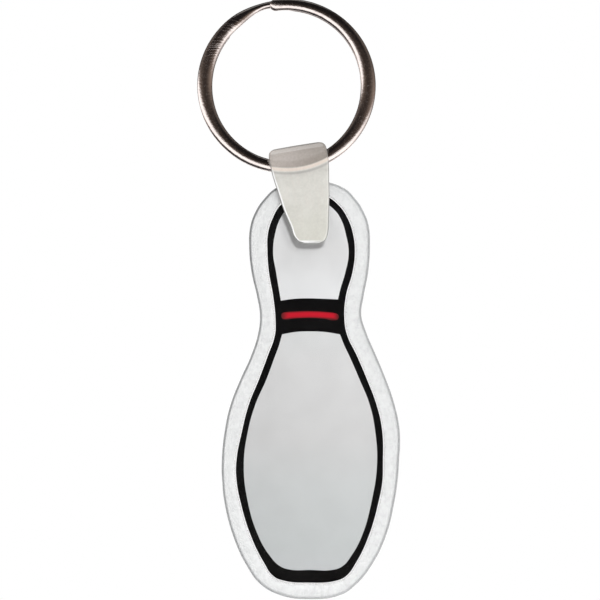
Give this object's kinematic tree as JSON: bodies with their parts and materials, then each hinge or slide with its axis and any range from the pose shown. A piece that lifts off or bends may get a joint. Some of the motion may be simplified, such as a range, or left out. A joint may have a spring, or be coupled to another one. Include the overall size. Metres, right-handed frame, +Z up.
{
  "type": "key tag",
  "caption": "Flat vinyl key tag cut in the shape of a bowling pin, with a printed pin between two sheets, on a snap strap and a two-coil split ring.",
  "frame": {"origin": "inside top of the split ring, midway between its two coils: the point that the tag hangs from", "axes": "+Z up towards the ring, the printed front faces -Y, +X to the right as the front is seen"},
  "size_m": [0.0338, 0.0062, 0.1008],
  "materials": {
    "nickel": "bright nickel plate",
    "frosted_plastic": "frosted translucent plastic",
    "clear_vinyl": "clear soft vinyl, lightly pebbled, whitish at the welded margin",
    "head_print": "printed light grey",
    "belly_print": "printed light grey, darker towards the base",
    "black_print": "printed black",
    "red_print": "printed red"
  },
  "bodies": {
    "ring": {"split_ring": "nickel"},
    "strap": {"strap": "frosted_plastic"},
    "tag": {"face_sheet": "clear_vinyl", "rear_sheet": "clear_vinyl", "head_panel": "head_print", "belly_panel": "belly_print", "pin_outline": "black_print", "neck_stripe": "red_print"}
  },
  "joints": [
    {"name": "strap_swing", "type": "hinge", "parent": "ring", "child": "strap", "pos_m": [0.00219, 0, -0.02572], "axis": [0.9866, 0, 0.1633], "range_deg": [-145, 145]},
    {"name": "tag_swivel", "type": "hinge", "parent": "strap", "child": "tag", "pos_m": [0.00376, 0, -0.03519], "axis": [0, 1, 0], "range_deg": [-46, 27]}
  ]
}
